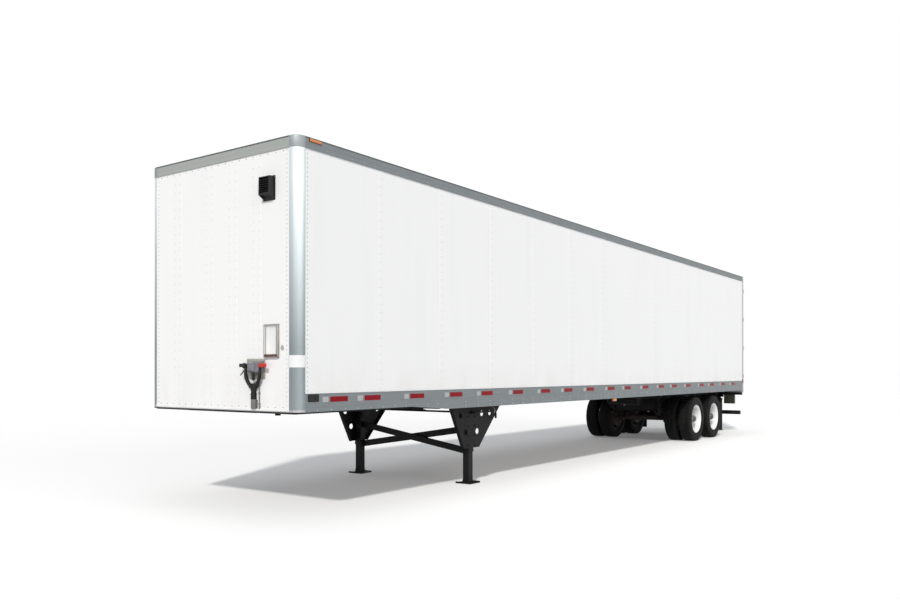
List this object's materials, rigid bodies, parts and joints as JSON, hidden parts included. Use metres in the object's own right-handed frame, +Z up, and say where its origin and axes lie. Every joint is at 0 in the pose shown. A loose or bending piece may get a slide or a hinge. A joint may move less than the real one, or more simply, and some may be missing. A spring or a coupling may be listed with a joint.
{
  "type": "semi trailer",
  "caption": "Long box-bodied semi trailer on a sliding tandem with twin wheels, landing legs, swing rear doors and an underrun guard.",
  "frame": {"origin": "on the ground, below the middle of the whole trailer", "axes": "+Z up, -Y to the front (the kingpin end), +X to the trailer's left"},
  "size_m": [2.615, 16.297, 4.115],
  "materials": {
    "white_panel": "gloss",
    "rail_grey": "satin",
    "bare_metal": "satin",
    "black_steel": "satin",
    "floor_wood": "matte",
    "tyre": "matte",
    "wheel_white": "gloss",
    "spring_steel": "matte",
    "chamber_grey": "satin",
    "zinc": "satin",
    "flap_rubber": "matte",
    "lamp_red": "gloss",
    "lamp_amber": "gloss",
    "black_plastic": "matte",
    "holder_plastic": "matte",
    "coupling_red": "satin",
    "hose_rubber": "matte"
  },
  "bodies": {
    "trailer": {"side_panel_left": "white_panel", "side_panel_right": "white_panel", "front_wall": "white_panel", "corner_posts": "bare_metal", "top_rails": "rail_grey", "roof": "white_panel", "bottom_rails": "rail_grey", "floor": "floor_wood", "crossmembers": "black_steel", "front_sill": "black_steel", "upper_coupler": "black_steel", "rear_frame": "bare_metal", "underride_guard": "black_steel", "lamp_boxes": "black_steel", "rear_lamps": "lamp_red", "marker_lamps": "lamp_amber", "landing_legs": "black_steel", "leg_gearboxes": "black_steel", "leg_rams": "black_steel", "sand_shoes": "black_steel", "wing_plates": "black_steel", "leg_braces": "black_steel", "cross_shaft": "black_steel", "crank_handle": "black_steel", "slide_rails": "black_steel", "bogie_members": "black_steel", "bogie_crossbeams": "black_steel", "spring_hangers": "black_steel", "equalizers": "black_steel", "leaf_springs": "spring_steel", "axles": "black_steel", "brake_chambers": "chamber_grey", "air_tank": "black_steel", "mud_flaps": "flap_rubber", "flap_arms": "black_steel", "front_vent": "black_plastic", "document_holder": "holder_plastic", "coupling_plate": "bare_metal", "glad_hands": "coupling_red", "air_hoses": "hose_rubber", "conduits": "bare_metal"},
    "door_left_swing": {"door_left": "white_panel", "door_fittings_left": "zinc", "lock_rods_left": "zinc"},
    "wheel_left_front": {"tyres_left_front": "tyre", "wheels_left_front": "wheel_white"},
    "wheel_left_rear": {"tyres_left_rear": "tyre", "wheels_left_rear": "wheel_white"},
    "door_right_swing": {"door_right": "white_panel", "door_fittings_right": "zinc", "lock_rods_right": "zinc"},
    "wheel_right_front": {"tyres_right_front": "tyre", "wheels_right_front": "wheel_white"},
    "wheel_right_rear": {"tyres_right_rear": "tyre", "wheels_right_rear": "wheel_white"}
  },
  "joints": [
    {"name": "door_left_hinge", "type": "hinge", "parent": "trailer", "child": "door_left_swing", "pos_m": [1.2815, 8.1345, 2.6], "axis": [0, 0, -1], "range_deg": [0, 265]},
    {"name": "wheel_left_front_spin", "type": "hinge", "parent": "trailer", "child": "wheel_left_front", "pos_m": [0.984, 4.456, 0.508], "axis": [1, 0, 0], "continuous": true},
    {"name": "wheel_left_rear_spin", "type": "hinge", "parent": "trailer", "child": "wheel_left_rear", "pos_m": [0.984, 5.701, 0.508], "axis": [1, 0, 0], "continuous": true},
    {"name": "door_right_hinge", "type": "hinge", "parent": "trailer", "child": "door_right_swing", "pos_m": [-1.2815, 8.1345, 2.6], "axis": [0, 0, 1], "range_deg": [0, 265]},
    {"name": "wheel_right_front_spin", "type": "hinge", "parent": "trailer", "child": "wheel_right_front", "pos_m": [-0.984, 4.456, 0.508], "axis": [1, 0, 0], "continuous": true},
    {"name": "wheel_right_rear_spin", "type": "hinge", "parent": "trailer", "child": "wheel_right_rear", "pos_m": [-0.984, 5.701, 0.508], "axis": [1, 0, 0], "continuous": true}
  ]
}
